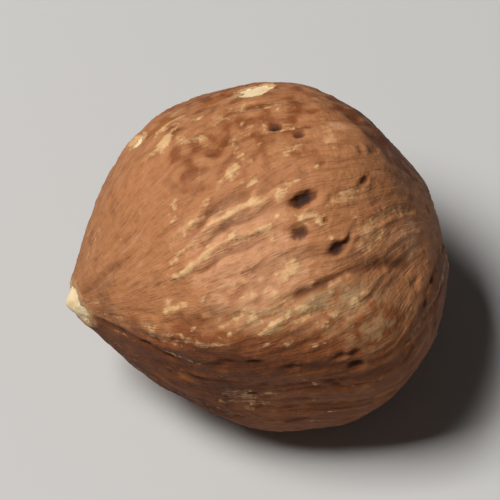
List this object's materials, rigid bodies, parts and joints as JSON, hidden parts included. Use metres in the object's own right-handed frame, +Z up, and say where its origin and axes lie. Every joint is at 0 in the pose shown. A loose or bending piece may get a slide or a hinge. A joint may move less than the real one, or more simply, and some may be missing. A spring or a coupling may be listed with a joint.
{
  "type": "shelled hazelnut kernel",
  "caption": "Whole hazelnut kernel in its brown papery skin, round with a blunt pointed tip, lying on its side on a small flat spot.",
  "frame": {"origin": "on the surface the kernel lies on, under the middle of its box", "axes": "+Z up; +X along the kernel from its pointed tip to its round base; +Y across it, away from the side the picture was taken from"},
  "size_m": [0.0142, 0.0136, 0.0126],
  "materials": {
    "skin": "brown papery seed skin, satin to matt, with paler veins fanning back from the tip"
  },
  "bodies": {
    "root": {"kernel": "skin"}
  },
  "joints": []
}
